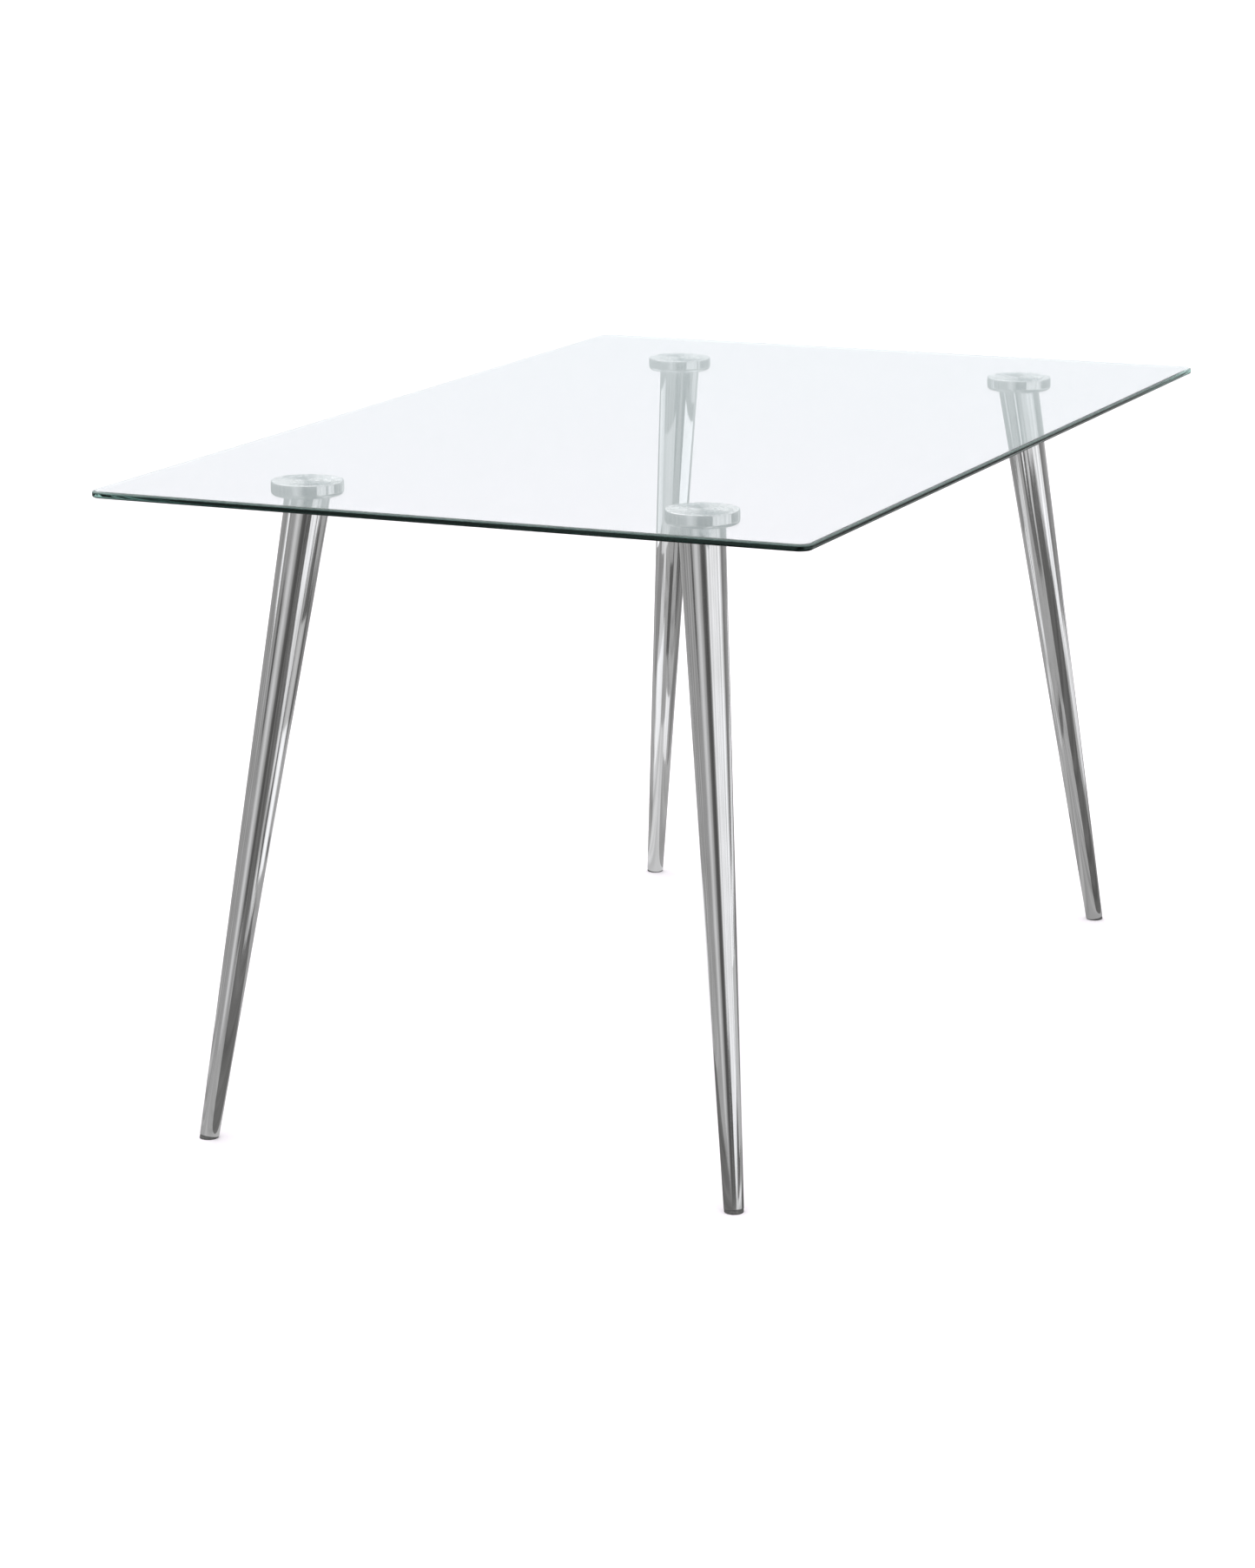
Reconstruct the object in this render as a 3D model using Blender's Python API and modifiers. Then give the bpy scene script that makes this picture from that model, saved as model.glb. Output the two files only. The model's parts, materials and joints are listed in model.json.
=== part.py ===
"""Glass dining table on four splayed, tapered chrome legs, in metres with +Z up.

The origin is on the floor under the middle of the top. X runs along the top's length and Y across it.
A round disc is bonded under the glass near each corner. A leg screws into the disc's inclined socket on a
headless stud, and ends in a plastic glide with a level underside.
"""

import math

import bmesh
import bpy

# Glass top
TOP_LENGTH = 1.400
TOP_WIDTH = 0.850
TABLE_HEIGHT = 0.750
GLASS_THICKNESS = 0.008
CORNER_RADIUS = 0.015
EDGE_ROUNDING = 0.0025
CORNER_STEPS = 6
EDGE_STEPS = 3

# Clearance kept between pieces that touch
GAP = 0.0003

# Mounting discs: their centres lie this far from the middle of the table
DISC_X = 0.534
DISC_Y = 0.239
DISC_RADIUS = 0.041
DISC_THICKNESS = 0.016
DISC_TOP_CHAMFER = 0.0008
DISC_LOWER_ROUNDING = 0.005
DISC_SEGMENTS = 48
ROUNDING_STEPS = 4

# Legs: each axis crosses its disc's underside at the disc's centre and spreads outwards to the floor
SPREAD_X = 0.112
SPREAD_Y = 0.085
LEG_TOP_RADIUS = 0.0258
LEG_FOOT_RADIUS = 0.0110
TUBE_WALL = 0.0015
LEG_SEGMENTS = 40

# Socket in the disc, square to the leg
SOCKET_RADIUS = 0.0262
SOCKET_LIP = 0.0008
TAPPED_DEPTH = 0.0078

# M10 headless stud
STUD_RADIUS = 0.005
STUD_CHAMFER = 0.0008
STUD_UP = 0.0072
STUD_DOWN = 0.0228
STUD_SEGMENTS = 20

# Steel head welded into the top of the tube
HEAD_RECESS = 0.0005
HEAD_FLANGE = 0.006
HEAD_LENGTH = 0.024
HEAD_HUB_RADIUS = 0.010
HEAD_SEGMENTS = 28

# Plastic glide pushed into the bottom of the tube
GLIDE_THIN_SIDE = 0.001
GLIDE_RADIUS = 0.0107
GLIDE_PLUG_LENGTH = 0.016
GLIDE_HOLLOW_RADIUS = 0.0065
GLIDE_BASE = 0.002
GLIDE_SEGMENTS = 28

# Derived sizes
DISC_TOP = TABLE_HEIGHT - GLASS_THICKNESS - GAP
DISC_UNDERSIDE = DISC_TOP - DISC_THICKNESS
SPREAD = math.hypot(SPREAD_X, SPREAD_Y)
TILT = math.atan2(SPREAD, DISC_UNDERSIDE)
SEAT_RISE = SOCKET_LIP + SOCKET_RADIUS * math.sin(TILT)
SEAT_HEIGHT = DISC_UNDERSIDE + SEAT_RISE
LEG_LENGTH = SEAT_HEIGHT / math.cos(TILT)
TAPER = (LEG_TOP_RADIUS - LEG_FOOT_RADIUS) / LEG_LENGTH
TUBE_END = (GLIDE_THIN_SIDE + LEG_FOOT_RADIUS * math.sin(TILT)) / math.cos(TILT) - LEG_LENGTH
BORE_RADIUS = STUD_RADIUS + GAP

# Cutters reach this far past what they cut
OVERCUT = 0.020

WELD_DISTANCE = 0.00001
SHARP_ANGLE = math.radians(30)

# Corner name: side along X, side along Y
CORNERS = {
    "front_left": (-1, -1),
    "front_right": (1, -1),
    "rear_left": (-1, 1),
    "rear_right": (1, 1),
}


def clear_scene():
    for obj in list(bpy.data.objects):
        bpy.data.objects.remove(obj)


def make_collection(name):
    collection = bpy.data.collections.new(name)
    bpy.context.scene.collection.children.link(collection)
    return collection


def make_material(name, colour, roughness, metallic=0.0, transmission=0.0):
    material = bpy.data.materials.new(name)
    material.use_nodes = True
    shader = material.node_tree.nodes["Principled BSDF"]
    shader.inputs["Base Color"].default_value = (*colour, 1.0)
    shader.inputs["Roughness"].default_value = roughness
    shader.inputs["Metallic"].default_value = metallic
    shader.inputs["Transmission Weight"].default_value = transmission
    material.diffuse_color = (*colour, 1.0)
    return material


def add_object(name, mesh, collection, parent=None, material=None):
    obj = bpy.data.objects.new(name, mesh)
    collection.objects.link(obj)
    obj.parent = parent
    if material and not mesh.materials:
        mesh.materials.append(material)
    return obj


def cut(obj, cutter):
    boolean = obj.modifiers.new("Cut", "BOOLEAN")
    boolean.operation = "DIFFERENCE"
    boolean.solver = "EXACT"
    boolean.object = cutter


def hide_cutter(obj):
    obj.hide_render = True
    obj.display_type = "WIRE"


def arc(centre, radius, start_degrees, end_degrees, steps):
    """Points (radius, height) along a circular arc, both ends included."""
    points = []
    for i in range(steps + 1):
        angle = math.radians(start_degrees + (end_degrees - start_degrees) * i / steps)
        points.append((centre[0] + radius * math.cos(angle), centre[1] + radius * math.sin(angle)))
    return points


def turned_mesh(name, profile, segments, ring=False):
    """A mesh turned about Z from (radius, height) points running down the outer side; a ring's profile closes."""
    edges = [(i, i + 1) for i in range(len(profile) - 1)]
    if ring:
        edges.append((len(profile) - 1, 0))
    outline = bpy.data.meshes.new(name + "_outline")
    outline.from_pydata([(radius, 0.0, height) for radius, height in profile], edges, [])
    blank = bpy.data.objects.new(name + "_blank", outline)
    bpy.context.scene.collection.objects.link(blank)
    screw = blank.modifiers.new("Turn", "SCREW")
    screw.angle = math.tau
    screw.steps = segments
    screw.render_steps = segments
    screw.use_merge_vertices = True
    screw.merge_threshold = WELD_DISTANCE
    mesh = bpy.data.meshes.new_from_object(blank.evaluated_get(bpy.context.evaluated_depsgraph_get()))
    mesh.name = name
    bpy.data.objects.remove(blank)
    bpy.data.meshes.remove(outline)
    mesh.shade_smooth()
    mesh.set_sharp_from_angle(angle=SHARP_ANGLE)
    return mesh


def glass_top_mesh():
    """A sheet with rounded corners, centred on its own origin."""
    sheet = bmesh.new()
    bmesh.ops.create_cube(sheet, size=1.0)
    bmesh.ops.scale(sheet, vec=(TOP_LENGTH, TOP_WIDTH, GLASS_THICKNESS), verts=sheet.verts)
    uprights = [e for e in sheet.edges if abs(e.verts[0].co.z - e.verts[1].co.z) > GLASS_THICKNESS / 2]
    bmesh.ops.bevel(
        sheet,
        geom=uprights,
        offset=CORNER_RADIUS,
        offset_type="OFFSET",
        segments=CORNER_STEPS,
        profile=0.5,
        affect="EDGES",
    )
    mesh = bpy.data.meshes.new("glass_top")
    sheet.to_mesh(mesh)
    sheet.free()
    return mesh


def build_glass_top(parts, glass):
    top = add_object("glass_top", glass_top_mesh(), parts, material=glass)
    top.location = (0.0, 0.0, TABLE_HEIGHT - GLASS_THICKNESS / 2)
    rounding = top.modifiers.new("Ground edge", "BEVEL")
    rounding.width = EDGE_ROUNDING
    rounding.segments = EDGE_STEPS
    rounding.limit_method = "ANGLE"
    rounding.angle_limit = math.radians(60)


def disc_mesh():
    """Heights are measured from the disc's underside."""
    rounding_centre = (DISC_RADIUS - DISC_LOWER_ROUNDING, DISC_LOWER_ROUNDING)
    profile = [
        (0.0, DISC_THICKNESS),
        (DISC_RADIUS - DISC_TOP_CHAMFER, DISC_THICKNESS),
        (DISC_RADIUS, DISC_THICKNESS - DISC_TOP_CHAMFER),
        *arc(rounding_centre, DISC_LOWER_ROUNDING, 0, -90, ROUNDING_STEPS),
        (0.0, 0.0),
    ]
    return turned_mesh("mounting_disc", profile, DISC_SEGMENTS)


def socket_cutter_mesh():
    """A stepped cutter in the leg's frame: the tapped hole above the seat and the socket below it."""
    profile = [
        (0.0, TAPPED_DEPTH),
        (BORE_RADIUS, TAPPED_DEPTH),
        (BORE_RADIUS, 0.0),
        (SOCKET_RADIUS, 0.0),
        (SOCKET_RADIUS, -OVERCUT),
        (0.0, -OVERCUT),
    ]
    return turned_mesh("socket_cutter", profile, DISC_SEGMENTS)


def stud_mesh():
    inner = STUD_RADIUS - STUD_CHAMFER
    profile = [
        (0.0, STUD_UP),
        (inner, STUD_UP),
        (STUD_RADIUS, STUD_UP - STUD_CHAMFER),
        (STUD_RADIUS, STUD_CHAMFER - STUD_DOWN),
        (inner, -STUD_DOWN),
        (0.0, -STUD_DOWN),
    ]
    return turned_mesh("leg_stud", profile, STUD_SEGMENTS)


def leg_radius(height):
    """Outer radius of the tube at a height along the leg, where 0 is its seat in the disc."""
    return LEG_TOP_RADIUS + TAPER * height


def tube_mesh():
    profile = [
        (leg_radius(-GAP), -GAP),
        (leg_radius(TUBE_END), TUBE_END),
        (leg_radius(TUBE_END) - TUBE_WALL, TUBE_END),
        (leg_radius(-GAP) - TUBE_WALL, -GAP),
    ]
    return turned_mesh("leg_tube", profile, LEG_SEGMENTS, ring=True)


def head_mesh():
    """A flange that fills the tube's mouth, with a tapped hub below it."""
    top = -GAP - HEAD_RECESS
    flange_bottom = top - HEAD_FLANGE
    profile = [
        (leg_radius(top) - TUBE_WALL - GAP, top),
        (leg_radius(flange_bottom) - TUBE_WALL - GAP, flange_bottom),
        (HEAD_HUB_RADIUS, flange_bottom),
        (HEAD_HUB_RADIUS, top - HEAD_LENGTH),
        (BORE_RADIUS, top - HEAD_LENGTH),
        (BORE_RADIUS, top),
    ]
    return turned_mesh("leg_head", profile, HEAD_SEGMENTS, ring=True)


def glide_mesh():
    """A hollow plug under the tube, carried past the floor so that the floor cutter can level it."""
    plug_radius = leg_radius(TUBE_END) - TUBE_WALL - GAP
    plug_top = TUBE_END + GLIDE_PLUG_LENGTH
    hollow_bottom = TUBE_END + GLIDE_BASE
    flange_top = TUBE_END - GAP
    below_floor = -LEG_LENGTH - OVERCUT / 2
    profile = [
        (0.0, hollow_bottom),
        (GLIDE_HOLLOW_RADIUS, hollow_bottom),
        (GLIDE_HOLLOW_RADIUS, plug_top),
        (plug_radius, plug_top),
        (plug_radius, flange_top),
        (GLIDE_RADIUS, flange_top),
        (GLIDE_RADIUS, below_floor),
        (0.0, below_floor),
    ]
    return turned_mesh("foot_glide", profile, GLIDE_SEGMENTS)


def build_floor_cutter(cutters):
    """A block whose top face is the floor."""
    block = bmesh.new()
    bmesh.ops.create_cube(block, size=1.0)
    bmesh.ops.scale(block, vec=(TOP_LENGTH * 2, TOP_WIDTH * 2, OVERCUT * 4), verts=block.verts)
    mesh = bpy.data.meshes.new("floor_cutter")
    block.to_mesh(mesh)
    block.free()
    cutter = add_object("floor_cutter", mesh, cutters)
    cutter.location = (0.0, 0.0, -OVERCUT * 2)
    hide_cutter(cutter)
    return cutter


def leg_frame(corner, side_x, side_y, parts):
    """An empty at the leg's seat, with Z up along the leg."""
    inward = SEAT_RISE * math.tan(TILT) / SPREAD
    frame = bpy.data.objects.new("leg_frame_" + corner, None)
    parts.objects.link(frame)
    frame.location = (
        side_x * (DISC_X - SPREAD_X * inward),
        side_y * (DISC_Y - SPREAD_Y * inward),
        SEAT_HEIGHT,
    )
    frame.rotation_euler = (0.0, -TILT, math.atan2(side_y * SPREAD_Y, side_x * SPREAD_X))
    return frame


def build_corner(corner, sides, meshes, materials, floor_cutter, parts, cutters):
    side_x, side_y = sides
    frame = leg_frame(corner, side_x, side_y, parts)

    socket = add_object("socket_cutter_" + corner, meshes["socket"], cutters, frame)
    hide_cutter(socket)
    disc = add_object("mounting_disc_" + corner, meshes["disc"], parts, material=materials["disc"])
    disc.location = (side_x * DISC_X, side_y * DISC_Y, DISC_UNDERSIDE)
    cut(disc, socket)

    add_object("leg_stud_" + corner, meshes["stud"], parts, frame, materials["stud"])
    add_object("leg_head_" + corner, meshes["head"], parts, frame, materials["head"])
    add_object("leg_tube_" + corner, meshes["tube"], parts, frame, materials["tube"])
    glide = add_object("foot_glide_" + corner, meshes["glide"], parts, frame, materials["glide"])
    cut(glide, floor_cutter)


def build_table():
    clear_scene()
    parts = make_collection("glass_dining_table")
    cutters = make_collection("cutters")
    meshes = {
        "disc": disc_mesh(),
        "socket": socket_cutter_mesh(),
        "stud": stud_mesh(),
        "head": head_mesh(),
        "tube": tube_mesh(),
        "glide": glide_mesh(),
    }
    materials = {
        "disc": make_material("disc_chrome", (0.80, 0.81, 0.82), 0.06, metallic=1.0),
        "stud": make_material("stud_zinc", (0.63, 0.62, 0.58), 0.35, metallic=1.0),
        "head": make_material("head_steel", (0.50, 0.50, 0.50), 0.45, metallic=1.0),
        "tube": make_material("tube_chrome", (0.78, 0.79, 0.81), 0.05, metallic=1.0),
        "glide": make_material("glide_plastic", (0.10, 0.10, 0.11), 0.50),
    }
    glass = make_material("clear_glass", (0.88, 0.96, 0.94), 0.02, transmission=0.95)
    build_glass_top(parts, glass)
    floor_cutter = build_floor_cutter(cutters)
    for corner, sides in CORNERS.items():
        build_corner(corner, sides, meshes, materials, floor_cutter, parts, cutters)


build_table()
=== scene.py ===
import json
import math

import bmesh
import bpy
from mathutils import Matrix, Vector, noise


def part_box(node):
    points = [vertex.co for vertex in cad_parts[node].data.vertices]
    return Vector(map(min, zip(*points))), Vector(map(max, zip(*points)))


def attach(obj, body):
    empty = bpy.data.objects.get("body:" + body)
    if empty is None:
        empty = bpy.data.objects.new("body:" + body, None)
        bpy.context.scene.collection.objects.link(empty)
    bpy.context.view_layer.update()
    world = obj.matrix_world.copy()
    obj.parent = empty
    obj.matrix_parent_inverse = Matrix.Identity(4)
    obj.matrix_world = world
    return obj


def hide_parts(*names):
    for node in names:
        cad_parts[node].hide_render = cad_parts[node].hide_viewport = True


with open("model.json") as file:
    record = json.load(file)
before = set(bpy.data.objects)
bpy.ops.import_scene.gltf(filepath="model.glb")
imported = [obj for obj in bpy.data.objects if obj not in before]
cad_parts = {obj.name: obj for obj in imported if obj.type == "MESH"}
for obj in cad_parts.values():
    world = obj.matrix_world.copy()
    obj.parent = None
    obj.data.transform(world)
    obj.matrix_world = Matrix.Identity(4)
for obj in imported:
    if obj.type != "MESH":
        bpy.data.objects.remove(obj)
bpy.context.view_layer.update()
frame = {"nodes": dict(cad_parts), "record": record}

NODES = frame["nodes"]
MOUNTS = {mount["name"]: Vector(mount["pos_m"]) for mount in frame["record"]["mounts"]}
CORNERS = ("front_left", "front_right", "rear_left", "rear_right")

# Camera: a long lens from the table's front left, a little above the top
CAMERA_PLACE = (-4.6835, -1.9673, 1.5390)
CAMERA_HEADING = math.radians(23.646)
CAMERA_DIP = math.radians(13.688)
CAMERA_ROLL = math.radians(-0.166)
CAMERA_LENS = 97.36

# Glass
GLASS_CORNER_RADIUS = 0.015
GLASS_EDGE_RADIUS = 0.0030
GLASS_CORNER_STEPS = 16
GLASS_EDGE_STEPS = 6
ROUND_PROFILE = 0.5
GLASS_IOR = 1.52
GLASS_ABSORPTION = (0.924, 0.948, 0.946)
GLASS_DENSITY = 50.0
# Painted light: the green the edge shows from light carried along the sheet, and the pale glow at the arris
GLASS_EDGE_PAINTED_GREEN_LIGHT = (0.35, 0.80, 0.66, 1.0)
GLASS_ARRIS_PAINTED_GLOW = (0.68, 0.88, 0.84, 1.0)
GLASS_REFLECTION_TINT = (0.65, 1.0, 0.90, 1.0)
WHITE = (1.0, 1.0, 1.0, 1.0)
POLISHED = (0.0, 0.0, 0.0, 1.0)
SATIN = (0.55, 0.55, 0.55, 1.0)
GLASS_WAVE_STRETCH = (1.0, 0.15, 1.0)

# Painted light by the size of the upward part of the surface normal: painted green light on the upright
# edge, a painted pale glow on the arrises, white on the flats
GLASS_PAINTED_LIGHT_BY_FACING = [(0.0, GLASS_EDGE_PAINTED_GREEN_LIGHT), (0.15, GLASS_EDGE_PAINTED_GREEN_LIGHT), (0.6, GLASS_ARRIS_PAINTED_GLOW), (0.97, WHITE)]

# Roughness by the upward part of the surface normal: only the upper arris is left ground
GROUND_ARRIS = [(0.0, POLISHED), (0.15, POLISHED), (0.35, SATIN), (0.90, SATIN), (0.985, POLISHED)]

# Other materials: the two colours that clouds blend between
CHROME_COLOURS = ((0.75, 0.75, 0.75), (0.84, 0.84, 0.85))
FACE_COLOURS = ((0.88, 0.88, 0.88), (0.95, 0.95, 0.96))
ZINC_COLOURS = ((0.55, 0.54, 0.50), (0.68, 0.66, 0.58))
PLASTIC_COLOURS = ((0.055, 0.056, 0.055), (0.11, 0.11, 0.105))

# Their range of roughness
CHROME_ROUGHNESS = (0.05, 0.12)
FACE_ROUGHNESS = (0.22, 0.30)
ZINC_ROUGHNESS = (0.28, 0.45)
PLASTIC_ROUGHNESS = (0.42, 0.62)
GLASS_ROUGHNESS = (0.0, 0.004)

# Noise: scale per metre and detail
POLISH_LINES = (900.0, 3.0)
CHROME_CLOUDS = (60.0, 3.0)
FACE_CLOUDS = (120.0, 3.0)
ZINC_CLOUDS = (220.0, 4.0)
ZINC_GRAIN = (1800.0, 2.0)
PLASTIC_GRAIN = (2600.0, 3.0)
PLASTIC_SCUFFS = (300.0, 5.0)
GLASS_SMEARS = (14.0, 4.0)
GLASS_WAVES = (5.0, 0.0)

# Bump: strength and depth in metres
CHROME_BUMP = (0.12, 0.00002)
FACE_BUMP = (0.2, 0.00002)
ZINC_BUMP = (0.25, 0.00003)
PLASTIC_BUMP = (0.35, 0.00005)
GLASS_BUMP = (0.05, 0.0004)

# The chrome's noise is drawn out along the leg by these
POLISH_STRETCH = (1.0, 1.0, 0.02)
CHROME_CLOUD_STRETCH = (1.0, 1.0, 0.25)

# The turned face's rings
FACE_ANISOTROPY = 0.9
FACE_ANISOTROPY_TURN = 0.444
FACE_RING_SCALE = 500.0
FACE_RING_DISTORTION = 0.4

# A noise value mostly lies between these
NOISE_LOW = 0.3
NOISE_HIGH = 0.7

# A Mix node's sockets when it mixes colours
MIX_FACTOR = 0
MIX_FIRST = 6
MIX_SECOND = 7
MIX_RESULT = 2

# Turned pieces: a point lies SUPPORT beyond each end of a rounding, and TINY counts as nothing
ROUND_STEPS = 128
FILLET_STEPS = 8
SUPPORT = 0.0002
TINY = 0.00002
SHARP_ANGLE = math.radians(35)
FINE_ROUNDING = 0.0003
LEG_RIM_ROUNDING = 0.0004
LEG_SIDE_STEPS = 160
RIPPLE_DEPTH = 0.00003
RIPPLES_ACROSS = 40
RIPPLES_ALONG = 12
RIPPLE_SHIFT = 31
DISC_TOP_ROUNDING = 0.0012
DISC_LOWER_ROUNDING = 0.0050
SOCKET_GAP = 0.0004
THREAD_PITCH = 0.0015
THREAD_DEPTH = 0.0009
THREAD_ROUND_STEPS = 32
THREAD_STEPS_PER_TURN = 8
GLIDE_FLOOR_ROUNDING = 0.0006
GLIDE_FLOOR_STEPS = 3

# Stage
FLOOR_SIZE = 200.0
FLOOR_COLOUR = (0.75, 0.717, 0.749, 1.0)
SURROUND_RADIUS = 6.0
SURROUND_BOTTOM = -6.0
SURROUND_TOP = 1.3
SURROUND_TALL_TOP = 2.1
SURROUND_TALL_FROM = 150.0
SURROUND_TALL_TO = 320.0
SURROUND_STEPS = 180
CHROME_REFLECTANCE = 0.80
DISPLAY_GAMMA = 2.2
BACKGROUND = (1.0, 1.0, 1.0)
LAMP_PLACE = (0.8, 1.2, 3.2)
LAMP_TARGET = (0.0, 0.0, 0.5)
LAMP_WIDTH = 2.0
LAMP_POWER = 18.0

# Red and blue beside green, at tone 0 and what tone 1 adds: cooler where it is bright
RED_BY_TONE = (1.02, -0.03)
BLUE_BY_TONE = (0.96, 0.06)

# The room's colour by the sine of the elevation: bright at the horizon, dim above it, brightest overhead
ROOM_COLOURS = [
    (0.00, (0.95, 1.03, 1.05)),
    (0.12, (0.77, 0.84, 0.86)),
    (0.20, (0.57, 0.62, 0.635)),
    (0.26, (0.46, 0.50, 0.51)),
    (0.50, (1.60, 1.60, 1.60)),
    (1.00, (2.35, 2.35, 2.35)),
]

# Tone (0 black, 1 white) that chrome shows when it reflects the surround, by heading in degrees
SURROUND_TONES = [
    (0, 0.74), (30, 0.62), (60, 0.57), (100, 0.56), (130, 0.58), (155, 0.56), (164, 0.74),
    (180, 0.70), (188, 0.50), (194, 0.31), (208, 0.31), (215, 0.60), (221, 0.86), (284, 0.90),
    (292, 0.60), (300, 0.42), (318, 0.55), (335, 0.60), (360, 0.74),
]

# Pale and dark shapes laid on the floor, seen only in reflections: name, tone, outline
FLOOR_CARDS = [
    ("floor_grey", 0.61, [(2.3, 0.0), (1.6, 1.6), (0.0, 2.3), (-1.6, 1.6), (-2.3, 0.0), (-1.6, -1.6),
                          (0.0, -2.3), (1.6, -1.6)]),
    ("floor_rear_pale", 0.79, [(0.28, 0.26), (0.05, 0.42), (-0.3, 0.52), (-0.3, 0.66), (-0.1, 0.85),
                               (0.1, 1.0), (0.36, 0.9), (0.45, 0.62), (0.52, 0.45), (0.68, 0.42),
                               (0.7, 0.34), (0.58, 0.24), (0.46, 0.14), (0.38, 0.05)]),
    ("floor_rear_shade", 0.52, [(-0.2, 0.92), (-0.05, 1.6), (0.7, 1.75), (0.7, 1.3), (0.3, 1.0),
                                (0.05, 0.88)]),
    ("floor_rear_dark", 0.49, [(0.72, 0.02), (1.1, 0.0), (1.7, 0.05), (2.6, 0.05), (2.5, -0.6),
                               (1.2, -0.75), (0.85, -0.5), (0.75, -0.2)]),
    ("floor_right_white", 0.86, [(1.35, -1.1), (1.75, -0.75), (3.9, -1.2), (3.8, -1.9), (2.3, -2.6),
                                 (1.1, -2.5), (1.15, -2.0)]),
    ("floor_front_white", 0.92, [(-1.6, -2.4), (1.6, -2.3), (1.6, -5.5), (-2.5, -5.2)]),
    ("floor_front_pale", 0.80, [(-1.15, -1.1), (-0.78, -1.1), (-0.6, -2.4), (-1.6, -2.4), (-1.3, -1.6)]),
    ("floor_front_dark", 0.37, [(-0.88, -0.68), (-0.4, -0.6), (0.0, -0.56), (0.35, -0.53), (0.52, -0.44),
                                (0.62, -0.36), (0.74, -0.38), (1.05, -0.7), (1.0, -1.1), (0.66, -1.2),
                                (0.62, -1.75), (0.35, -2.1), (0.05, -2.15), (-0.1, -1.75), (-0.7, -1.8)]),
    ("floor_left_dark", 0.40, [(-0.65, 0.3), (-3.6, -1.4), (-5.3, -2.6), (-4.0, -4.3), (-1.6, -2.0),
                               (-1.25, -1.0), (-1.0, -0.42), (-0.4, -0.42), (-0.3, -0.05), (-0.35, 0.2)]),
    ("floor_near_pale", 0.78, [(-0.63, -0.36), (-0.52, -0.5), (-0.58, -0.56), (-0.72, -0.62), (-0.8, -0.85),
                               (-1.0, -0.7), (-0.8, -0.42)]),
    ("floor_centre_dark", 0.38, [(0.27, -0.02), (0.2, -0.13), (0.1, -0.27), (0.04, -0.3), (0.02, -0.24),
                                 (0.12, -0.1), (0.2, 0.02)]),
    ("floor_edge_dark", 0.25, [(2.7, -1.7), (5.9, -1.7), (5.9, -2.1), (2.7, -2.1)]),
]

# Each floor card lies this much above the one before it
FLOOR_CARD_STEP = 0.0001

# Cards standing under and round the table, seen only in reflections: name, tone, two ends, bottom and top
STANDING_CARDS = [
    ("left_reflector", 0.88, (-0.56, -0.20), (-0.30, -0.06), 0.13, 0.33),
    ("left_upper_reflector", 0.66, (-0.56, -0.20), (-0.30, -0.06), 0.33, 0.47),
    ("rear_reflector", 0.92, (0.28, 0.30), (0.45, 0.52), 0.03, 0.20),
    ("near_side_reflector", 0.74, (-0.55, -0.56), (-0.40, -0.44), 0.03, 0.25),
    ("rear_flag", 0.36, (0.392, 0.20), (0.449, 0.119), 0.185, 0.345),
    ("rear_side_reflector", 1.08, (0.48, 0.08), (0.72, 0.13), 0.42, 0.60),
    ("rear_low_reflector", 0.87, (0.44, 0.12), (0.60, 0.04), 0.005, 0.12),
    ("rear_low_flag", 0.59, (0.435, 0.11), (0.595, 0.03), 0.005, 0.125),
    ("rear_side_flag", 0.52, (0.485, 0.062), (0.72, 0.112), 0.40, 0.62),
    ("rear_back_reflector", 0.80, (0.456, 0.428), (0.372, 0.208), 0.40, 0.58),
    ("rear_far_reflector", 0.97, (0.62, 0.455), (0.45, 0.43), 0.44, 0.66),
]

# Cards on the surround: name, tone, two headings in degrees, bottom and top
SURROUND_CARDS = [
    ("camera_flag", 0.32, 213, 231, -0.30, 0.38),
    ("rear_strip", 0.92, 114, 125, 0.72, 1.10),
    ("left_flag", 0.32, 143, 152, 0.52, 0.88),
    ("edge_flag", 0.30, 338, 364, 1.35, 3.10),
]
SURROUND_CARD_RADIUS = 5.8

# A round card far overhead, which keeps the discs' tops from burning out when seen from above
CEILING_CARD_TONE = 0.78
CEILING_CARD_RADIUS = 10.5
CEILING_CARD_HEIGHT = 12.0
CEILING_CARD_STEPS = 48

# Soft bands in everything that glows
BANDS_PER_TURN = 45.0
BAND_DETAIL = 2.0
BAND_STRENGTHS = (0.78, 1.25)


# Camera


def add_camera():
    heading = Vector((math.cos(CAMERA_HEADING), math.sin(CAMERA_HEADING), 0.0))
    forward = heading * math.cos(CAMERA_DIP) - Vector((0.0, 0.0, math.sin(CAMERA_DIP)))
    right = forward.cross(Vector((0.0, 0.0, 1.0))).normalized()
    up = right.cross(forward)
    turn = Matrix.Rotation(-CAMERA_ROLL, 3, forward)
    axes = Matrix((turn @ right, turn @ up, -forward)).transposed()
    camera = bpy.data.objects.new("camera", bpy.data.cameras.new("camera"))
    bpy.context.scene.collection.objects.link(camera)
    camera.matrix_world = Matrix.Translation(CAMERA_PLACE) @ axes.to_4x4()
    camera.data.lens = CAMERA_LENS
    camera.data.clip_end = FLOOR_SIZE
    bpy.context.scene.camera = camera


# Node helpers


def new_material(name):
    material = bpy.data.materials.new(name)
    material.use_nodes = True
    shader = material.node_tree.nodes["Principled BSDF"]
    return material, material.node_tree, shader


def coordinates(tree, scale=(1.0, 1.0, 1.0)):
    """Object coordinates stretched by scale."""
    place = tree.nodes.new("ShaderNodeTexCoord")
    mapping = tree.nodes.new("ShaderNodeMapping")
    mapping.inputs["Scale"].default_value = scale
    tree.links.new(place.outputs["Object"], mapping.inputs["Vector"])
    return mapping.outputs["Vector"]


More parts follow.
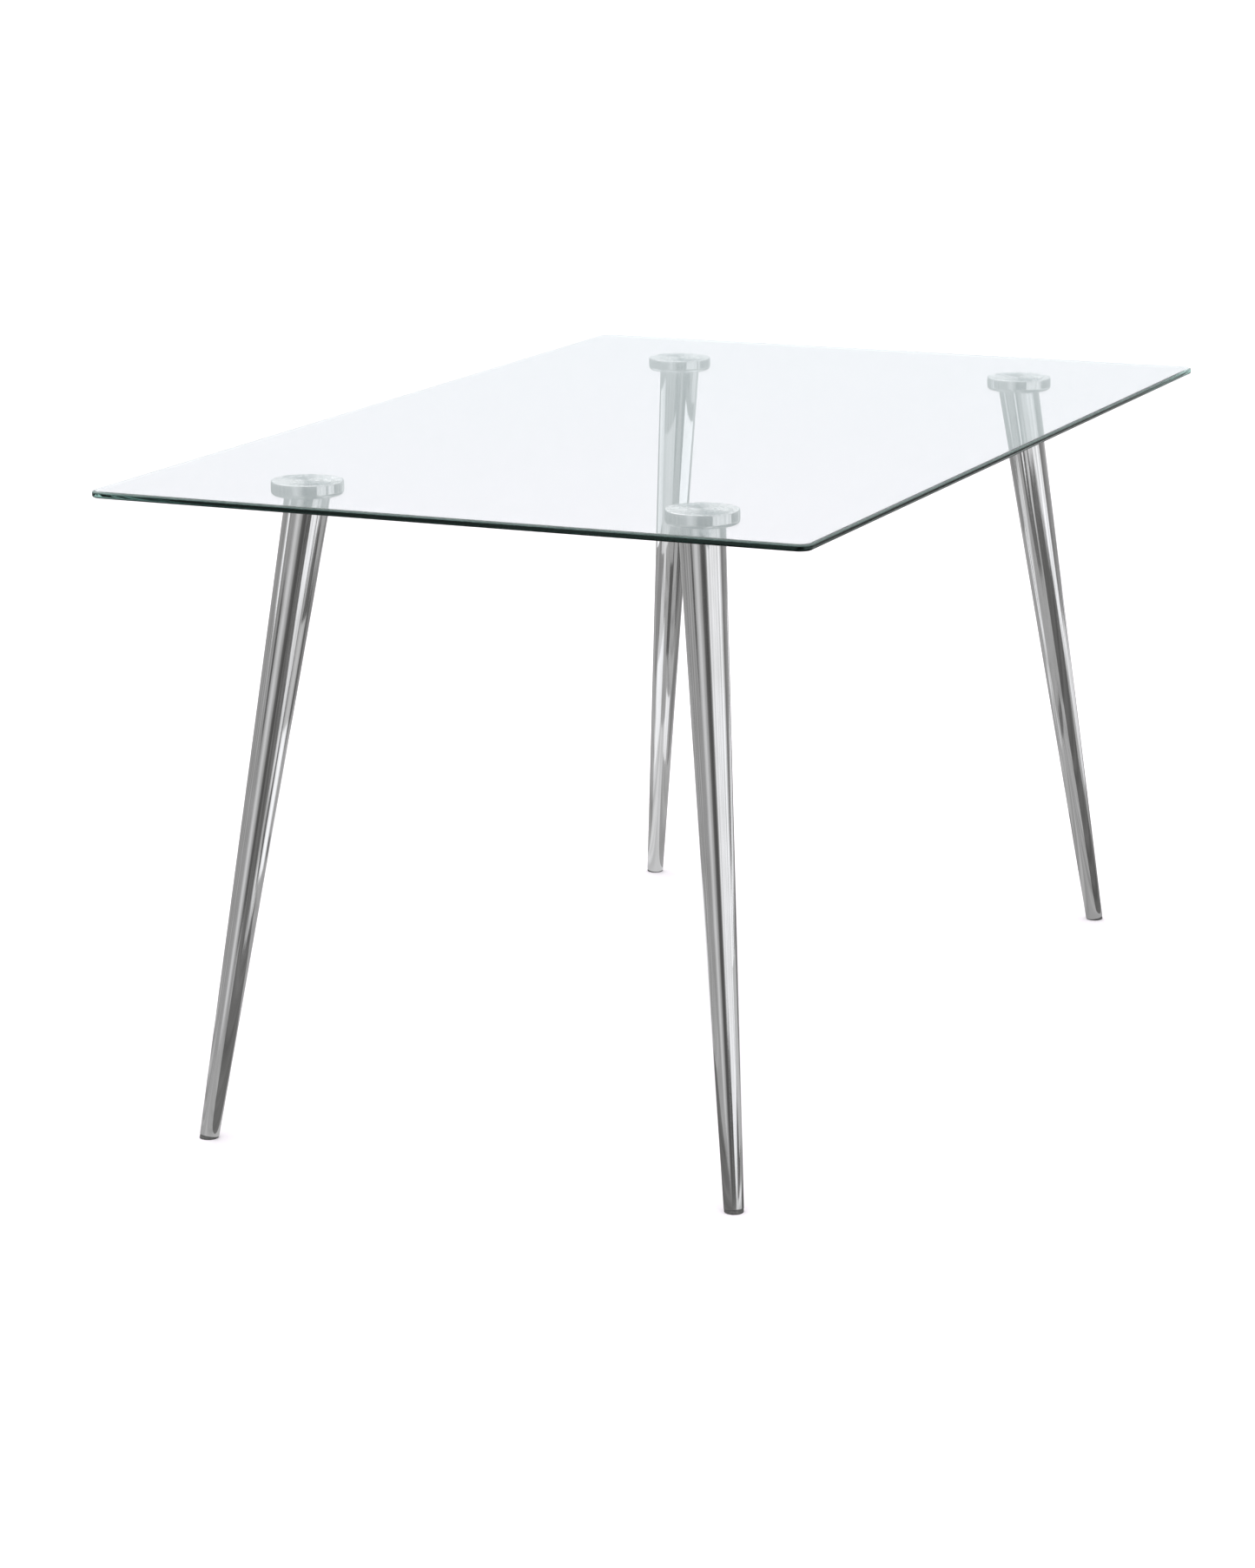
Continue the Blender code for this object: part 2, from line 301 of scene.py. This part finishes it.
def noise_value(tree, vector, scale, detail):
    texture = tree.nodes.new("ShaderNodeTexNoise")
    texture.inputs["Scale"].default_value = scale
    texture.inputs["Detail"].default_value = detail
    tree.links.new(vector, texture.inputs["Vector"])
    return texture.outputs["Fac"]


def spread(tree, value, low, high):
    """Maps a noise value's usual spread to low and high."""
    remap = tree.nodes.new("ShaderNodeMapRange")
    remap.inputs["From Min"].default_value = NOISE_LOW
    remap.inputs["From Max"].default_value = NOISE_HIGH
    remap.inputs["To Min"].default_value = low
    remap.inputs["To Max"].default_value = high
    tree.links.new(value, remap.inputs["Value"])
    return remap.outputs["Result"]


def mix_colours(tree, value, first, second):
    """A blend from first to second; either may be a colour or a socket."""
    mix = tree.nodes.new("ShaderNodeMix")
    mix.data_type = "RGBA"
    for colour, socket in ((first, mix.inputs[MIX_FIRST]), (second, mix.inputs[MIX_SECOND])):
        if isinstance(colour, tuple):
            socket.default_value = (*colour, 1.0)
        else:
            tree.links.new(colour, socket)
    tree.links.new(value, mix.inputs[MIX_FACTOR])
    return mix.outputs[MIX_RESULT]


def cloudy_colour(tree, shader, clouds, colours):
    """Gives the shader a colour that clouds blend between two."""
    colour = mix_colours(tree, spread(tree, clouds, 0.0, 1.0), *colours)
    tree.links.new(colour, shader.inputs["Base Color"])


def add_ramp(tree, value, stops):
    """The colour at value on a ramp of (position, colour) stops."""
    ramp = tree.nodes.new("ShaderNodeValToRGB")
    elements = ramp.color_ramp.elements
    for position, _ in stops[1:-1]:
        elements.new(position)
    for element, (position, colour) in zip(elements, stops):
        element.position = position
        element.color = colour
    tree.links.new(value, ramp.inputs["Fac"])
    return ramp.outputs["Color"]


def add_bump(tree, shader, height, strength, distance):
    bump = tree.nodes.new("ShaderNodeBump")
    bump.inputs["Strength"].default_value = strength
    bump.inputs["Distance"].default_value = distance
    tree.links.new(height, bump.inputs["Height"])
    tree.links.new(bump.outputs["Normal"], shader.inputs["Normal"])


# Materials


def chrome_material():
    """Polished chrome plate with polishing lines along the piece's own Z axis."""
    material, tree, shader = new_material("polished_chrome")
    shader.inputs["Metallic"].default_value = 1.0
    lines = noise_value(tree, coordinates(tree, POLISH_STRETCH), *POLISH_LINES)
    clouds = noise_value(tree, coordinates(tree, CHROME_CLOUD_STRETCH), *CHROME_CLOUDS)
    cloudy_colour(tree, shader, clouds, CHROME_COLOURS)
    tree.links.new(spread(tree, lines, *CHROME_ROUGHNESS), shader.inputs["Roughness"])
    add_bump(tree, shader, lines, *CHROME_BUMP)
    return material


def turned_face_material():
    """The lathe-faced top of a disc: fine rings round the piece's own Z axis."""
    material, tree, shader = new_material("turned_face")
    shader.inputs["Metallic"].default_value = 1.0
    shader.inputs["Anisotropic"].default_value = FACE_ANISOTROPY
    shader.inputs["Anisotropic Rotation"].default_value = FACE_ANISOTROPY_TURN
    tangent = tree.nodes.new("ShaderNodeTangent")
    tangent.direction_type = "RADIAL"
    tangent.axis = "Z"
    tree.links.new(tangent.outputs["Tangent"], shader.inputs["Tangent"])
    rings = tree.nodes.new("ShaderNodeTexWave")
    rings.wave_type = "RINGS"
    rings.rings_direction = "Z"
    rings.inputs["Scale"].default_value = FACE_RING_SCALE
    rings.inputs["Distortion"].default_value = FACE_RING_DISTORTION
    tree.links.new(coordinates(tree), rings.inputs["Vector"])
    clouds = noise_value(tree, coordinates(tree), *FACE_CLOUDS)
    cloudy_colour(tree, shader, clouds, FACE_COLOURS)
    tree.links.new(spread(tree, clouds, *FACE_ROUGHNESS), shader.inputs["Roughness"])
    add_bump(tree, shader, rings.outputs["Fac"], *FACE_BUMP)
    return material


def steel_material():
    """Zinc-plated steel with a mottled, slightly yellow film."""
    material, tree, shader = new_material("zinc_plate")
    shader.inputs["Metallic"].default_value = 1.0
    clouds = noise_value(tree, coordinates(tree), *ZINC_CLOUDS)
    grain = noise_value(tree, coordinates(tree), *ZINC_GRAIN)
    cloudy_colour(tree, shader, clouds, ZINC_COLOURS)
    tree.links.new(spread(tree, clouds, *ZINC_ROUGHNESS), shader.inputs["Roughness"])
    add_bump(tree, shader, grain, *ZINC_BUMP)
    return material


def plastic_material():
    """Grey moulded plastic with a fine matte grain and scuffs."""
    material, tree, shader = new_material("moulded_plastic")
    grain = noise_value(tree, coordinates(tree), *PLASTIC_GRAIN)
    scuffs = noise_value(tree, coordinates(tree), *PLASTIC_SCUFFS)
    cloudy_colour(tree, shader, scuffs, PLASTIC_COLOURS)
    tree.links.new(spread(tree, scuffs, *PLASTIC_ROUGHNESS), shader.inputs["Roughness"])
    add_bump(tree, shader, grain, *PLASTIC_BUMP)
    return material


def glass_material():
    """Clear tempered glass: green in its depth, with painted green light on its upright edge and a painted
    pale glow on its arrises, a ground upper arris and a faint roller wave.
    """
    material, tree, shader = new_material("tempered_glass")
    facing = tree.nodes.new("ShaderNodeTexCoord")
    split = tree.nodes.new("ShaderNodeSeparateXYZ")
    tree.links.new(facing.outputs["Normal"], split.inputs["Vector"])
    upright = tree.nodes.new("ShaderNodeMath")
    upright.operation = "ABSOLUTE"
    tree.links.new(split.outputs["Z"], upright.inputs[0])
    # Painted light: the base colour follows which way the surface faces, green light on the upright edge
    # and a pale glow on the arrises
    painted_edge_light = add_ramp(tree, upright.outputs[0], GLASS_PAINTED_LIGHT_BY_FACING)
    tree.links.new(painted_edge_light, shader.inputs["Base Color"])
    shader.inputs["Transmission Weight"].default_value = 1.0
    shader.inputs["Specular Tint"].default_value = GLASS_REFLECTION_TINT
    shader.inputs["IOR"].default_value = GLASS_IOR
    smears = noise_value(tree, coordinates(tree), *GLASS_SMEARS)
    ground = add_ramp(tree, split.outputs["Z"], GROUND_ARRIS)
    roughness = tree.nodes.new("ShaderNodeMath")
    roughness.operation = "MAXIMUM"
    tree.links.new(spread(tree, smears, *GLASS_ROUGHNESS), roughness.inputs[0])
    tree.links.new(ground, roughness.inputs[1])
    tree.links.new(roughness.outputs[0], shader.inputs["Roughness"])
    waves = noise_value(tree, coordinates(tree, GLASS_WAVE_STRETCH), *GLASS_WAVES)
    add_bump(tree, shader, waves, *GLASS_BUMP)
    absorption = tree.nodes.new("ShaderNodeVolumeAbsorption")
    absorption.inputs["Color"].default_value = (*GLASS_ABSORPTION, 1.0)
    absorption.inputs["Density"].default_value = GLASS_DENSITY
    tree.links.new(absorption.outputs["Volume"], tree.nodes["Material Output"].inputs["Volume"])
    return material


# Turned pieces


def rounded_profile(corners, closed=False):
    """Profile points from (radius, height, rounding) corners; a point either side holds each rounding."""
    points = []
    count = len(corners)
    for i, (radius, height, rounding) in enumerate(corners):
        corner = Vector((radius, height))
        is_end = i in (0, count - 1) and not closed
        if is_end or rounding == 0.0:
            points.append(corner)
            continue
        before = (Vector(corners[i - 1][:2]) - corner).normalized()
        after = (Vector(corners[(i + 1) % count][:2]) - corner).normalized()
        half = before.angle(after) / 2
        reach = rounding / math.tan(half)
        centre = corner + (before + after).normalized() * rounding / math.sin(half)
        start = (corner + before * reach - centre).normalized()
        end = (corner + after * reach - centre).normalized()
        points.append(corner + before * (reach + SUPPORT))
        for step in range(FILLET_STEPS + 1):
            points.append(centre + start.slerp(end, step / FILLET_STEPS) * rounding)
        points.append(corner + after * (reach + SUPPORT))
    return points


def split_stretches(profile, longest):
    """Adds points so that no stretch of the profile is longer than longest."""
    points = [profile[0]]
    for start, end in zip(profile, profile[1:]):
        parts = max(1, math.ceil((end - start).length / longest))
        points += [start.lerp(end, part / parts) for part in range(1, parts + 1)]
    return points


def spin(name, profile, closed=False, steps=ROUND_STEPS):
    """A mesh turned about Z from (radius, height) points; a closed profile joins end to start."""
    shape = bmesh.new()
    columns = []
    for radius, height in profile:
        if radius < TINY:
            columns.append([shape.verts.new((0.0, 0.0, height))] * steps)
            continue
        column = []
        for i in range(steps):
            turn = math.tau * i / steps
            column.append(shape.verts.new((radius * math.cos(turn), radius * math.sin(turn), height)))
        columns.append(column)
    pairs = list(zip(columns, columns[1:]))
    if closed:
        pairs.append((columns[-1], columns[0]))
    for upper, lower in pairs:
        for i in range(steps):
            j = (i + 1) % steps
            shape.faces.new(list(dict.fromkeys((upper[i], lower[i], lower[j], upper[j]))))
    bmesh.ops.recalc_face_normals(shape, faces=shape.faces)
    mesh = bpy.data.meshes.new(name)
    shape.to_mesh(mesh)
    shape.free()
    return mesh


def smooth(mesh, material):
    """Smooth shading up to the sharp angle, and the mesh's first material."""
    mesh.shade_smooth()
    mesh.set_sharp_from_angle(angle=SHARP_ANGLE)
    mesh.materials.append(material)


def add_piece(name, mesh, place, slot_name, *replaced):
    """Puts a visible piece at its place and hides the CAD nodes it stands for."""
    piece = bpy.data.objects.new(name, mesh)
    bpy.context.scene.collection.objects.link(piece)
    piece.matrix_world = place
    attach(piece, "root")
    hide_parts(*replaced)
    return piece


def disc_place(corner):
    """The disc's frame: origin at the middle of its underside."""
    low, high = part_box("mounting_disc_" + corner)
    return Matrix.Translation(((low.x + high.x) / 2, (low.y + high.y) / 2, low.z))


def leg_place(corner):
    """The leg's frame: origin at the middle of the disc's underside, Z up along the leg."""
    top = disc_place(corner).translation
    axis = (top - MOUNTS["foot_" + corner]).normalized()
    side = Vector((0.0, 0.0, 1.0)).cross(axis).normalized()
    turn = Matrix((side.cross(axis), side, axis)).transposed()
    return Matrix.Translation(top) @ turn.to_4x4()


def rings_of(node, place):
    """The radii of a CAD node's rings about place's axis, by height along that axis."""
    back = place.inverted()
    rings = {}
    for vertex in NODES[node].data.vertices:
        point = back @ vertex.co
        radii = rings.setdefault(round(point.z, 5), set())
        radii.add(round(math.hypot(point.x, point.y), 5))
    return rings


def build_tube(corner, chrome):
    """The hollow tapered leg, rounded at its rims and faintly rippled."""
    place = leg_place(corner)
    rings = rings_of("leg_tube_" + corner, place)
    low, high = min(rings), max(rings)
    corners = [
        (max(rings[high]), high, LEG_RIM_ROUNDING),
        (max(rings[low]), low, LEG_RIM_ROUNDING),
        (min(rings[low]), low, LEG_RIM_ROUNDING),
        (min(rings[high]), high, LEG_RIM_ROUNDING),
    ]
    profile = split_stretches(rounded_profile(corners, closed=True), (high - low) / LEG_SIDE_STEPS)
    mesh = spin("leg_" + corner, profile, closed=True)
    seed = CORNERS.index(corner)
    for vertex in mesh.vertices:
        across = Vector((vertex.co.x, vertex.co.y, 0.0))
        along = vertex.co.z * RIPPLES_ALONG + seed * RIPPLE_SHIFT
        ripple = noise.noise(Vector((across.x * RIPPLES_ACROSS, across.y * RIPPLES_ACROSS, along)))
        vertex.co += across.normalized() * ripple * RIPPLE_DEPTH
    smooth(mesh, chrome)
    add_piece("leg_" + corner, mesh, place, "chrome", "leg_tube_" + corner)


def socket_cutter(corner):
    """The leg's socket and the stud's hole, as one solid in the leg's frame."""
    place = leg_place(corner)
    tube_top = max(rings_of("leg_tube_" + corner, place))
    tube_radius = max(rings_of("leg_tube_" + corner, place)[tube_top])
    stud = rings_of("leg_stud_" + corner, place)
    stud_top = max(stud)
    stud_radius = max(max(radii) for radii in stud.values())
    seat = tube_top + SOCKET_GAP
    profile = [
        Vector((0.0, stud_top + SOCKET_GAP)),
        Vector((stud_radius + SOCKET_GAP, stud_top + SOCKET_GAP)),
        Vector((stud_radius + SOCKET_GAP, seat)),
        Vector((tube_radius + SOCKET_GAP, seat)),
        Vector((tube_radius + SOCKET_GAP, -tube_radius)),
        Vector((0.0, -tube_radius)),
    ]
    cutter = bpy.data.objects.new("socket_cutter", spin("socket_cutter", profile))
    bpy.context.scene.collection.objects.link(cutter)
    cutter.matrix_world = place
    return cutter


def cut(mesh, place, cutter):
    """The mesh at that place with the cutter's shape taken out; the cutter goes."""
    body = bpy.data.objects.new("body", mesh)
    bpy.context.scene.collection.objects.link(body)
    body.matrix_world = place
    difference = body.modifiers.new("difference", "BOOLEAN")
    difference.operation = "DIFFERENCE"
    difference.object = cutter
    bpy.context.view_layer.update()
    result = bpy.data.meshes.new_from_object(body.evaluated_get(bpy.context.evaluated_depsgraph_get()))
    result.name = mesh.name
    for used in (body, cutter):
        bpy.data.objects.remove(used)
    return result


def build_disc(corner, chrome, face):
    """The disc under the glass, with the leg's socket and the stud's hole cut into it."""
    node = "mounting_disc_" + corner
    low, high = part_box(node)
    radius = (high.x - low.x) / 2
    thickness = high.z - low.z
    corners = [
        (0.0, thickness, 0.0),
        (radius, thickness, DISC_TOP_ROUNDING),
        (radius, 0.0, DISC_LOWER_ROUNDING),
        (0.0, 0.0, 0.0),
    ]
    blank = spin("disc_" + corner, rounded_profile(corners))
    mesh = cut(blank, disc_place(corner), socket_cutter(corner))
    smooth(mesh, chrome)
    mesh.materials.append(face)
    for polygon in mesh.polygons:
        if polygon.center.z > thickness - TINY:
            polygon.material_index = 1
    add_piece("disc_" + corner, mesh, disc_place(corner), "chrome", node)


def build_stud(corner, steel):
    """A headless stud with a rolled thread, tapered at both ends."""
    place = leg_place(corner)
    rings = rings_of("leg_stud_" + corner, place)
    low, high = min(rings), max(rings)
    radius = max(max(radii) for radii in rings.values())
    rows = round((high - low) / THREAD_PITCH * THREAD_STEPS_PER_TURN)
    profile = [Vector((0.0, high))]
    profile += [Vector((radius, high + (low - high) * row / rows)) for row in range(rows + 1)]
    profile.append(Vector((0.0, low)))
    mesh = spin("stud_" + corner, profile, steps=THREAD_ROUND_STEPS)
    for vertex in mesh.vertices:
        across = Vector((vertex.co.x, vertex.co.y, 0.0))
        if across.length < radius / 2:
            continue
        turn = math.atan2(across.y, across.x) / math.tau
        phase = (vertex.co.z / THREAD_PITCH - turn) % 1.0
        crest = radius - THREAD_DEPTH * abs(2.0 * phase - 1.0)
        end_distance = min(high - vertex.co.z, vertex.co.z - low)
        taper = radius - THREAD_DEPTH + end_distance
        vertex.co += across.normalized() * (min(crest, taper) - across.length)
    smooth(mesh, steel)
    add_piece("stud_" + corner, mesh, place, "zinc_plated_steel", "leg_stud_" + corner)


def build_head(corner, steel):
    """The tapped plug in the leg's top: a flange that closes the tube and a hub below it."""
    place = leg_place(corner)
    rings = rings_of("leg_head_" + corner, place)
    bottom, step, top = sorted(rings)
    corners = [
        (max(rings[top]), top, FINE_ROUNDING),
        (max(rings[step]), step, FINE_ROUNDING),
        (max(rings[bottom]), step, FINE_ROUNDING),
        (max(rings[bottom]), bottom, FINE_ROUNDING),
        (min(rings[bottom]), bottom, FINE_ROUNDING),
        (min(rings[top]), top, FINE_ROUNDING),
    ]
    mesh = spin("head_" + corner, rounded_profile(corners, closed=True), closed=True)
    smooth(mesh, steel)
    add_piece("head_" + corner, mesh, place, "zinc_plated_steel", "leg_head_" + corner)


def build_glide(corner, plastic):
    """The hollow plug under the tube, with a collar cut level with the floor."""
    place = leg_place(corner)
    tube_end = min(rings_of("leg_tube_" + corner, place))
    rings = rings_of("foot_glide_" + corner, place)
    above = sorted(height for height in rings if height > tube_end - 2 * FINE_ROUNDING)
    collar, hollow_floor, top = above[0], above[-2], above[-1]
    radius = max(rings[collar])
    hollow, plug = min(rings[top]), max(rings[top])
    below = (MOUNTS["foot_" + corner] - place.translation).length + radius
    corners = [
        (0.0, hollow_floor, 0.0),
        (hollow, hollow_floor, FINE_ROUNDING),
        (hollow, top, FINE_ROUNDING),
        (plug, top, FINE_ROUNDING),
        (plug, collar, 0.0),
        (radius, collar, FINE_ROUNDING),
        (radius, -below, 0.0),
        (0.0, -below, 0.0),
    ]
    mesh = spin("glide_" + corner, rounded_profile(corners))
    level_with_floor(mesh, place)
    smooth(mesh, plastic)
    add_piece("glide_" + corner, mesh, place, "grey_plastic", "foot_glide_" + corner)


def level_with_floor(mesh, place):
    """Cuts the mesh off at the floor, closes it and rounds the new rim."""
    back = place.inverted()
    up = (back.to_3x3() @ Vector((0.0, 0.0, 1.0))).normalized()
    shape = bmesh.new()
    shape.from_mesh(mesh)
    everything = shape.verts[:] + shape.edges[:] + shape.faces[:]
    foot = back @ Vector((place.translation.x, place.translation.y, 0.0))
    cut_parts = bmesh.ops.bisect_plane(shape, geom=everything, plane_co=foot, plane_no=up, clear_inner=True)
    rim = [part for part in cut_parts["geom_cut"] if isinstance(part, bmesh.types.BMEdge)]
    bmesh.ops.contextual_create(shape, geom=rim)
    bmesh.ops.bevel(
        shape, geom=rim, offset=GLIDE_FLOOR_ROUNDING,
        segments=GLIDE_FLOOR_STEPS, profile=ROUND_PROFILE, affect="EDGES",
    )
    shape.to_mesh(mesh)
    shape.free()


# Glass sheet


def build_glass(material):
    """The sheet, with rounded corners and rounded edges."""
    low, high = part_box("glass_top")
    size = high - low
    sheet = bmesh.new()
    bmesh.ops.create_cube(sheet, size=1.0)
    bmesh.ops.scale(sheet, vec=size, verts=sheet.verts)
    uprights = [e for e in sheet.edges if abs(e.verts[0].co.z - e.verts[1].co.z) > size.z / 2]
    bmesh.ops.bevel(
        sheet, geom=uprights, offset=GLASS_CORNER_RADIUS, offset_type="OFFSET",
        segments=GLASS_CORNER_STEPS, profile=ROUND_PROFILE, affect="EDGES",
    )
    rims = [e for e in sheet.edges if e.verts[0].co.z * e.verts[1].co.z > 0.0]
    bmesh.ops.bevel(
        sheet, geom=rims, offset=GLASS_EDGE_RADIUS, offset_type="OFFSET",
        segments=GLASS_EDGE_STEPS, profile=ROUND_PROFILE, affect="EDGES",
    )
    mesh = bpy.data.meshes.new("glass_sheet")
    sheet.to_mesh(mesh)
    sheet.free()
    mesh.shade_smooth()
    keep_flats_flat(mesh, size.x * size.y / 2)
    mesh.materials.append(material)
    place = Matrix.Translation((low + high) / 2)
    piece = add_piece("glass_sheet", mesh, place, "tempered_glass", "glass_top")
    piece.visible_shadow = False


def keep_flats_flat(mesh, least_area):
    """Shades each face larger than least_area flat, whatever it meets."""
    sharp = set()
    for polygon in mesh.polygons:
        if polygon.area > least_area:
            sharp.update(polygon.edge_keys)
    for edge in mesh.edges:
        edge.use_edge_sharp = edge.key in sharp


# Stage


def add_stage_object(name, points, faces, material):
    """A mesh of the studio round the table, which is no part of it."""
    mesh = bpy.data.meshes.new(name)
    mesh.from_pydata(points, [], faces)
    mesh.materials.append(material)
    thing = bpy.data.objects.new(name, mesh)
    bpy.context.scene.collection.objects.link(thing)
    return thing


def only_in_reflections(thing):
    """Hides it from the camera, from matt surfaces and from what is seen through the glass."""
    thing.visible_camera = False
    thing.visible_diffuse = False
    thing.visible_transmission = False
    thing.visible_shadow = False


def add_floor():
    """A wide matt floor that takes light but is not seen in the chrome."""
    material, _, shader = new_material("pale_floor")
    shader.inputs["Base Color"].default_value = FLOOR_COLOUR
    shader.inputs["Roughness"].default_value = 1.0
    shader.inputs["Specular IOR Level"].default_value = 0.0
    half = FLOOR_SIZE / 2
    corners = [(-half, -half, 0.0), (half, -half, 0.0), (half, half, 0.0), (-half, half, 0.0)]
    floor = add_stage_object("floor", corners, [(0, 1, 2, 3)], material)
    floor.visible_glossy = False


def light_of(tone):
    """The light that chrome shows as that tone, cooler where it is bright."""
    level = tone ** DISPLAY_GAMMA / CHROME_REFLECTANCE
    red = level * (RED_BY_TONE[0] + RED_BY_TONE[1] * tone)
    blue = level * (BLUE_BY_TONE[0] + BLUE_BY_TONE[1] * tone)
    return (red, level, blue, 1.0)


def turn_about_table(tree):
    """The heading from the table's middle, as a part of a full turn."""
    place = tree.nodes.new("ShaderNodeTexCoord")
    split = tree.nodes.new("ShaderNodeSeparateXYZ")
    tree.links.new(place.outputs["Object"], split.inputs["Vector"])
    heading = tree.nodes.new("ShaderNodeMath")
    heading.operation = "ARCTAN2"
    tree.links.new(split.outputs["Y"], heading.inputs[0])
    tree.links.new(split.outputs["X"], heading.inputs[1])
    turn = tree.nodes.new("ShaderNodeMath")
    turn.operation = "DIVIDE"
    turn.inputs[1].default_value = math.tau
    tree.links.new(heading.outputs[0], turn.inputs[0])
    wrap = tree.nodes.new("ShaderNodeMath")
    wrap.operation = "FRACT"
    tree.links.new(turn.outputs[0], wrap.inputs[0])
    return wrap.outputs[0]


def glowing_material(name, tone):
    """A glow of that tone, in soft bands that fan out from the table."""
    material = bpy.data.materials.new(name)
    material.use_nodes = True
    tree = material.node_tree
    tree.nodes.clear()
    light = tree.nodes.new("ShaderNodeEmission")
    light.inputs["Color"].default_value = light_of(tone)
    bands = tree.nodes.new("ShaderNodeTexNoise")
    bands.noise_dimensions = "1D"
    bands.inputs["Scale"].default_value = BANDS_PER_TURN
    bands.inputs["Detail"].default_value = BAND_DETAIL
    tree.links.new(turn_about_table(tree), bands.inputs["W"])
    tree.links.new(spread(tree, bands.outputs["Fac"], *BAND_STRENGTHS), light.inputs["Strength"])
    output = tree.nodes.new("ShaderNodeOutputMaterial")
    tree.links.new(light.outputs["Emission"], output.inputs["Surface"])
    return material, tree, light


def around(radius, degrees, height):
    """A point at that distance and heading from the table's middle."""
    angle = math.radians(degrees)
    return (radius * math.cos(angle), radius * math.sin(angle), height)


def add_card(name, tone, points):
    """A flat glowing shape, seen only in reflections."""
    card = add_stage_object(name, points, [tuple(range(len(points)))], glowing_material(name, tone)[0])
    only_in_reflections(card)
    return card


def add_cards():
    """The pale and dark shapes that give the chrome its streaks."""
    for layer, (name, tone, outline) in enumerate(FLOOR_CARDS):
        add_card(name, tone, [(x, y, FLOOR_CARD_STEP * layer) for x, y in outline])
    for name, tone, start, end, low, high in STANDING_CARDS:
        add_card(name, tone, [(*start, low), (*end, low), (*end, high), (*start, high)])
    for name, tone, start, end, low, high in SURROUND_CARDS:
        ends = ((start, low), (end, low), (end, high), (start, high))
        add_card(name, tone, [around(SURROUND_CARD_RADIUS, degrees, height) for degrees, height in ends])


def add_ceiling_card():
    """The card overhead; the discs show it, so it is seen through the glass too."""
    turns = [360.0 * step / CEILING_CARD_STEPS for step in range(CEILING_CARD_STEPS)]
    points = [around(CEILING_CARD_RADIUS, degrees, CEILING_CARD_HEIGHT) for degrees in turns]
    card = add_card("ceiling_card", CEILING_CARD_TONE, points)
    card.visible_transmission = True


def add_surround():
    """A ring of soft light and dark bands round the table, seen only in reflections."""
    points, faces = [], []
    for i in range(SURROUND_STEPS):
        degrees = 360.0 * i / SURROUND_STEPS
        tall = SURROUND_TALL_FROM < degrees < SURROUND_TALL_TO
        for height in (SURROUND_BOTTOM, SURROUND_TALL_TOP if tall else SURROUND_TOP):
            points.append(around(SURROUND_RADIUS, degrees, height))
        j = (i + 1) % SURROUND_STEPS
        faces.append((2 * i, 2 * j, 2 * j + 1, 2 * i + 1))
    material, tree, light = glowing_material("surround", 1.0)
    tones = [(degrees / 360, light_of(tone)) for degrees, tone in SURROUND_TONES]
    tree.links.new(add_ramp(tree, turn_about_table(tree), tones), light.inputs["Color"])
    only_in_reflections(add_stage_object("surround", points, faces, material))


def add_world():
    """A room that is hazy at the horizon and bright overhead; the camera sees plain white."""
    world = bpy.data.worlds.new("studio")
    bpy.context.scene.world = world
    world.use_nodes = True
    tree = world.node_tree
    tree.nodes.clear()
    place = tree.nodes.new("ShaderNodeTexCoord")
    split = tree.nodes.new("ShaderNodeSeparateXYZ")
    tree.links.new(place.outputs["Generated"], split.inputs["Vector"])
    stops = [(sine, (*shade, 1.0)) for sine, shade in ROOM_COLOURS]
    room = add_ramp(tree, split.outputs["Z"], stops)
    path = tree.nodes.new("ShaderNodeLightPath")
    colour = mix_colours(tree, path.outputs["Is Camera Ray"], room, BACKGROUND)
    light = tree.nodes.new("ShaderNodeBackground")
    tree.links.new(colour, light.inputs["Color"])
    output = tree.nodes.new("ShaderNodeOutputWorld")
    tree.links.new(light.outputs["Background"], output.inputs["Surface"])


def add_overhead_light():
    """The broad lamp over the table, which isn't seen itself."""
    light = bpy.data.lights.new("overhead", "AREA")
    light.shape = "DISK"
    light.size = LAMP_WIDTH
    light.energy = LAMP_POWER
    lamp = bpy.data.objects.new("overhead", light)
    bpy.context.scene.collection.objects.link(lamp)
    lamp.location = LAMP_PLACE
    lamp.rotation_euler = (Vector(LAMP_TARGET) - lamp.location).to_track_quat("-Z", "Y").to_euler()
    lamp.visible_camera = False
    lamp.visible_glossy = False


def build():
    """The table and the studio round it."""
    add_camera()
    chrome = chrome_material()
    face = turned_face_material()
    steel = steel_material()
    plastic = plastic_material()
    build_glass(glass_material())
    for corner in CORNERS:
        build_disc(corner, chrome, face)
        build_stud(corner, steel)
        build_head(corner, steel)
        build_tube(corner, chrome)
        build_glide(corner, plastic)
    add_floor()
    add_cards()
    add_ceiling_card()
    add_surround()
    add_world()
    add_overhead_light()
    bpy.context.scene.view_settings.view_transform = "Standard"


build()
